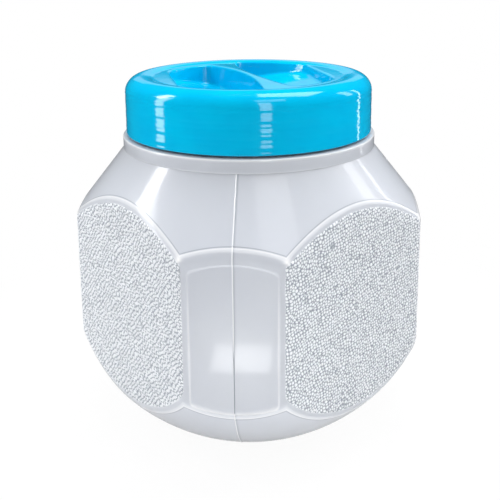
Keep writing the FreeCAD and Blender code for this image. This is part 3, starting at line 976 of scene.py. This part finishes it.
    def outline_of_rim(self):
        """Outline from the plate inside, down the skirt, round its edge and up over the rim."""
        lid = self.lid
        chamfer, edge, soft = lid.corner_chamfer, lid.edge, EDGE_ROUND
        inner, outer = self.skirt_r, lid.radius
        arc_z = lid.crest - lid.rim_round
        outline = [(inner - chamfer, self.plate_z), (inner, self.plate_z - chamfer)]
        outline += [(inner, z) for z in np.linspace(self.plate_z - chamfer - soft, edge + 2 * soft, 10)]
        outline += bend((inner, edge + soft), (inner, edge), (inner + soft, edge), 4)
        outline += bend((outer - soft, edge), (outer, edge), (outer, edge + soft), 4)
        for z in np.linspace(edge + 2 * soft, arc_z - soft, 44):
            wave = math.cos(2 * math.pi * (z - edge) / SINK_PITCH)
            fine = math.cos(2 * math.pi * (z - edge) / (SINK_FINE * SINK_PITCH))
            outline.append((outer - SINK_BAND * (1.5 + wave + 0.5 * fine), z))
        rim = sweep_arc((self.crest_r, arc_z), lid.rim_round, 0, 90, 30)
        line = edge + PARTING_HEIGHT
        return outline + [(r - PARTING_DEPTH * bell(z - line, PARTING_WIDTH), z) for r, z in rim]


# Operators

class JAR_OT_shell(bpy.types.Operator):
    """Builds the smooth outer wall, its panels' fields and the mould seam"""

    bl_idname = "jar.shell"
    bl_label = "Smooth wall"

    def execute(self, context):
        body = context.scene.jar_body
        form = BlownForm(body)
        # The wall's colour carries painted highlights and painted shade along the folds, fields, seam, panels
        # and collar
        outer = milky_plastic("Blown polypropylene, folded", form, True)
        rows, clear, tone = shell_rows(form)
        add_piece("jar_shell", [lattice(rows, keep=clear)], outer, *JAR, tone)
        inner = milky_plastic("Blown polypropylene, milky", form, False)
        add_piece("jar_inner_wall", [flipped(lattice(inner_rows(form)))], inner, *JAR)
        return {"FINISHED"}


class JAR_OT_grained_sides(bpy.types.Operator):
    """Builds the pebbled skins of the four wide sides"""

    bl_idname = "jar.grained_sides"
    bl_label = "Grained sides"

    def execute(self, context):
        body = context.scene.jar_body
        form = BlownForm(body)
        material = grained_plastic(body)
        for number in range(4):
            skin, heights = grained_side(form, number)
            # The pebbles' heights also set the grain's painted light and shade
            add_piece(f"grained_side_{number + 1}", [skin], material, *JAR, heights)
        return {"FINISHED"}


class JAR_OT_neck(bpy.types.Operator):
    """Builds the collar, the neck and the neck's thread"""

    bl_idname = "jar.neck"
    bl_label = "Neck"

    def execute(self, context):
        body, thread = context.scene.jar_body, context.scene.jar_thread
        material = bpy.data.materials["Blown polypropylene, milky"]
        azimuth = np.radians(np.arange(0, 360, 1.0))
        rows = lathe(neck_outline(BlownForm(body)), azimuth)
        # Painted highlight lines at the collar's foot and top, and painted grey shade over the rest of the
        # neck
        above = rows[..., 2] - body.shoulder_top
        foot_line = bell(above, COLLAR_FOOT_LINE)
        top_line = bell(above - body.collar_height + COLLAR_TOP_LINE, COLLAR_TOP_LINE)
        tone = COLLAR_HIGHLIGHT * np.maximum(foot_line, top_line) - COLLAR_SHADE
        add_piece("jar_neck", [lattice(rows)], material, *JAR, tone.ravel())
        patches = ridges(thread, body.neck_radius, thread.neck_height, *thread_span(context.scene))
        add_piece("jar_thread", patches, material, *JAR)
        return {"FINISHED"}


class JAR_OT_lid(bpy.types.Operator):
    """Builds the screw lid with its finger pockets and its thread"""

    bl_idname = "jar.lid"
    bl_label = "Screw lid"

    def execute(self, context):
        lid, thread = context.scene.jar_lid, context.scene.jar_thread
        form = LidForm(lid)
        azimuth = np.radians(np.arange(0, 360, 1.25))
        rim = lattice(lathe(form.outline_of_rim(), azimuth))
        deck = form.plate(form.crest_r, azimuth, POCKET_EDGE, form.deck, DECK_SPACING, lid.rim_slope)
        underside = flipped(form.plate(form.skirt_r - lid.corner_chamfer, azimuth, lid.wall + POCKET_EDGE,
                                       form.underside, UNDERSIDE_SPACING))
        patches = [rim, deck, underside]
        patches += form.pocket_patches(POCKET_EDGE, 0, form.deck, 0)
        patches += [flipped(p) for p in form.pocket_patches(POCKET_EDGE, lid.wall, form.underside, lid.wall)]
        material = blue_plastic(lid)
        add_piece("lid_shell", patches, material, *LID)
        low, climb = thread_span(context.scene)
        patches = ridges(thread, form.skirt_r, -thread.lid_height, low - thread.offset, climb)
        add_piece("lid_thread", patches, material, *LID)
        return {"FINISHED"}


class JAR_OT_sealing_ring(bpy.types.Operator):
    """Builds the soft ring between the lip and the lid"""

    bl_idname = "jar.sealing_ring"
    bl_label = "Sealing ring"

    def execute(self, context):
        body, lid = context.scene.jar_body, context.scene.jar_lid
        outer, low, high = SEAL_HIGH.x, SEAL_LOW.z, SEAL_HIGH.z
        bore = body.neck_radius - body.neck_wall
        inner, soft = bore - SEAL_LAP, SEAL_ROUND
        middle = (bore + body.neck_radius) / 2
        groove = [(r, low + SEAL_GROOVE * bell(r - middle, SEAL_GROOVE_WIDTH))
                  for r in np.linspace(inner + 2 * soft, outer - 2 * soft, 14)]
        outline = bend((inner, low + soft), (inner, low), (inner + soft, low), 4) + groove
        outline += bend((outer - soft, low), (outer, low), (outer, low + soft), 4)
        outline += bend((outer, high - soft), (outer, high), (outer - soft, high), 4)
        outline += bend((inner + soft, high), (inner, high), (inner, high - soft), 4)
        azimuth = np.radians(np.arange(0, 360, 2.0))
        ring = lattice(lathe(outline + outline[:1], azimuth))
        add_piece("sealing_ring_foam", [ring], foam(lid), *SEAL)
        return {"FINISHED"}


class JAR_OT_stage(bpy.types.Operator):
    """Builds the pale floor, the soft lamps, the sky and the camera"""

    bl_idname = "jar.stage"
    bl_label = "Stage"

    def execute(self, context):
        stage = context.scene.jar_stage
        self.floor(stage)
        self.sky(context.scene, stage)
        self.lamps(stage)
        self.camera(context.scene, stage)
        context.scene.view_settings.view_transform = "Standard"
        return {"FINISHED"}

    def seen(self, tree):
        """1 for what the camera sees, itself or through the plastic, and 1 for what the gloss shows."""
        path = add_node(tree, "LightPath").outputs
        clear = add_node(tree, "Math", {"operation": "MAXIMUM"},
                         {0: path["Is Camera Ray"], 1: path["Is Transmission Ray"]})
        return clear, path["Is Glossy Ray"]

    def floor(self, stage):
        """White paper. To the camera it is white and keeps the jar's soft shadow close by. The gloss shows it
        dim, so that the lid stays a deep blue, and paler close to the jar."""
        material, tree, where = new_material("White paper")
        clear, gloss = self.seen(tree)
        away = add_node(tree, "VectorMath", {"operation": "LENGTH"}, {0: where}).outputs["Value"]
        bright = add_node(tree, "MapRange", {"From Min": PAPER_NEAR, "From Max": PAPER_FAR,
                                             "To Min": PAPER_WHITE, "To Max": 1.0}, {"Value": away})
        share = add_node(tree, "Math", {"operation": "MULTIPLY"}, {0: clear, 1: bright})
        near = add_node(tree, "MapRange", {"From Min": GLOSS_NEAR, "From Max": GLOSS_FAR,
                                           "To Min": GLOSS_BRIGHT, "To Max": stage.gloss}, {"Value": away})
        paper = add_node(tree, "BsdfDiffuse", {"Color": list(stage.paper)})
        dim = add_node(tree, "Emission", links={"Strength": near})
        white = add_node(tree, "Emission", {"Strength": 1.0})
        shown = add_node(tree, "MixShader", links={0: gloss, 1: paper, 2: dim})
        mixed = add_node(tree, "MixShader", links={0: share, 1: shown, 2: white})
        add_node(tree, "OutputMaterial", links={"Surface": mixed})
        corners = [(PAPER_REACH * x, PAPER_REACH * y, -PAPER_DROP)
                   for x, y in ((-1, -1), (1, -1), (1, 1), (-1, 1))]
        mesh = bpy.data.meshes.new("floor")
        mesh.from_pydata(corners, [], [(0, 1, 2, 3)])
        mesh.materials.append(material)
        floor = bpy.data.objects.new("floor", mesh)
        bpy.context.scene.collection.objects.link(floor)

    def sky(self, scene, stage):
        """An even sky: white where it is seen, softer where it lights, and dim in the gloss."""
        world = bpy.data.worlds.new("Soft studio")
        world.use_nodes = True
        tree = world.node_tree
        tree.nodes.clear()
        clear, gloss = self.seen(tree)
        dim = add_node(tree, "MapRange", {"To Min": stage.sky, "To Max": stage.gloss}, {"Value": gloss})
        level = add_node(tree, "MapRange", {"To Max": 1.0}, {"Value": clear, "To Min": dim})
        sky = add_node(tree, "Background", {"Color": linear("#FFFFFF")}, {"Strength": level})
        add_node(tree, "OutputWorld", links={"Surface": sky})
        scene.world = world

    def lamps(self, stage):
        """Soft boxes round and above the jar, and low cards in front that the corner panel mirrors."""
        for name, (*place, size, brightness, in_gloss) in LAMPS.items():
            self.lamp(name, stage, place, size, brightness).visible_glossy = in_gloss
        for number, share in enumerate(CARD_SHARES):
            size = (CARD_WIDTH * share, CARD_DEPTH * share)
            self.lamp(f"low_card_{number + 1}", stage, CARD_PLACE, size, CARD_BRIGHTNESS, True)

    def lamp(self, name, stage, place, size, brightness, upward=False):
        """A rectangular soft box that faces the jar's middle, or straight up."""
        degrees, distance, height = place
        light = bpy.data.lights.new(name, "AREA")
        light.shape = "RECTANGLE"
        light.size, light.size_y = size
        light.energy = brightness * math.pi * size[0] * size[1]
        lamp = bpy.data.objects.new(name, light)
        bpy.context.scene.collection.objects.link(lamp)
        angle = stage.swing + math.radians(degrees)
        lamp.location = (distance * math.sin(angle), -distance * math.cos(angle), height)
        aim = Vector((0, 0, 1)) if upward else Vector((0, 0, LAMP_AIM)) - lamp.location
        lamp.rotation_euler = aim.to_track_quat("-Z", "Y").to_euler()
        lamp.visible_camera = False
        return lamp

    def camera(self, scene, stage):
        """The photo's view, fitted to the jar's outline."""
        data = bpy.data.cameras.new("photo_view")
        data.lens, data.sensor_width = stage.lens, 36
        data.shift_x, data.shift_y = stage.shift
        data.clip_start, data.clip_end = 0.01, 100
        camera = bpy.data.objects.new("photo_view", data)
        scene.collection.objects.link(camera)
        turned = (Matrix.Rotation(stage.swing, 4, "Z") @ Matrix.Rotation(QUARTER - stage.pitch, 4, "X")
                  @ Matrix.Rotation(stage.roll, 4, "Z"))
        place = (stage.distance * math.sin(stage.swing), -stage.distance * math.cos(stage.swing),
                 stage.height)
        camera.matrix_world = Matrix.Translation(place) @ turned
        scene.camera = camera


class VIEW3D_PT_jar(bpy.types.Panel):
    """The jar's pieces and settings"""

    bl_label = "Screw-top jar"
    bl_space_type = "VIEW_3D"
    bl_region_type = "UI"
    bl_category = "Jar"

    def draw(self, context):
        for operator in OPERATORS:
            self.layout.operator(operator.bl_idname)
        for group in SETTINGS:
            box = self.layout.box()
            settings = getattr(context.scene, group)
            for name in settings.__annotations__:
                box.prop(settings, name)


OPERATORS = (JAR_OT_shell, JAR_OT_grained_sides, JAR_OT_neck, JAR_OT_lid, JAR_OT_sealing_ring,
             JAR_OT_stage)
SETTINGS = {"jar_body": JarBodySettings, "jar_lid": JarLidSettings, "jar_thread": JarThreadSettings,
            "jar_stage": JarStageSettings}


def register():
    """Adds the settings, the operators and the panel to Blender."""
    for name, group in SETTINGS.items():
        bpy.utils.register_class(group)
        setattr(bpy.types.Scene, name, bpy.props.PointerProperty(type=group))
    for operator in OPERATORS:
        bpy.utils.register_class(operator)
    bpy.utils.register_class(VIEW3D_PT_jar)


def unregister():
    """Takes them out again."""
    bpy.utils.unregister_class(VIEW3D_PT_jar)
    for operator in reversed(OPERATORS):
        bpy.utils.unregister_class(operator)
    for name, group in SETTINGS.items():
        delattr(bpy.types.Scene, name)
        bpy.utils.unregister_class(group)


def main():
    """Builds the jar and its stage."""
    register()
    bpy.ops.jar.shell()
    bpy.ops.jar.grained_sides()
    bpy.ops.jar.neck()
    bpy.ops.jar.lid()
    bpy.ops.jar.sealing_ring()
    bpy.ops.jar.stage()
    bpy.context.view_layer.update()


if __name__ == "__main__":
    main()
